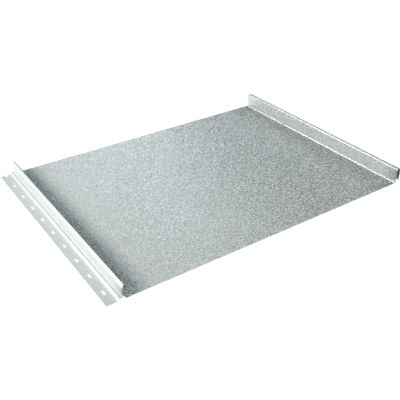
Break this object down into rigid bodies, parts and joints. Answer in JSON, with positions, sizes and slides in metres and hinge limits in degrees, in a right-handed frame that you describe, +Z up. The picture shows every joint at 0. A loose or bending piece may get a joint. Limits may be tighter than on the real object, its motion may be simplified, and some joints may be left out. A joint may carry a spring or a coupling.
{
  "type": "standing seam roof panel",
  "caption": "Flat roll-formed metal roof panel with a slotted nailing flange and male rib along one side and a female seam cap along the other.",
  "frame": {"origin": "centre of the panel's bounding box, on the underside of the sheet, which is the level it lies on", "axes": "+X across the panel from the nailing flange to the female cap, +Y along the seams, +Z up out of the panel's face"},
  "size_m": [0.5296, 0.387, 0.0255],
  "materials": {
    "coated_sheet": "fine zinc spangle"
  },
  "bodies": {
    "root": {"roof_panel": "coated_sheet"}
  },
  "joints": []
}
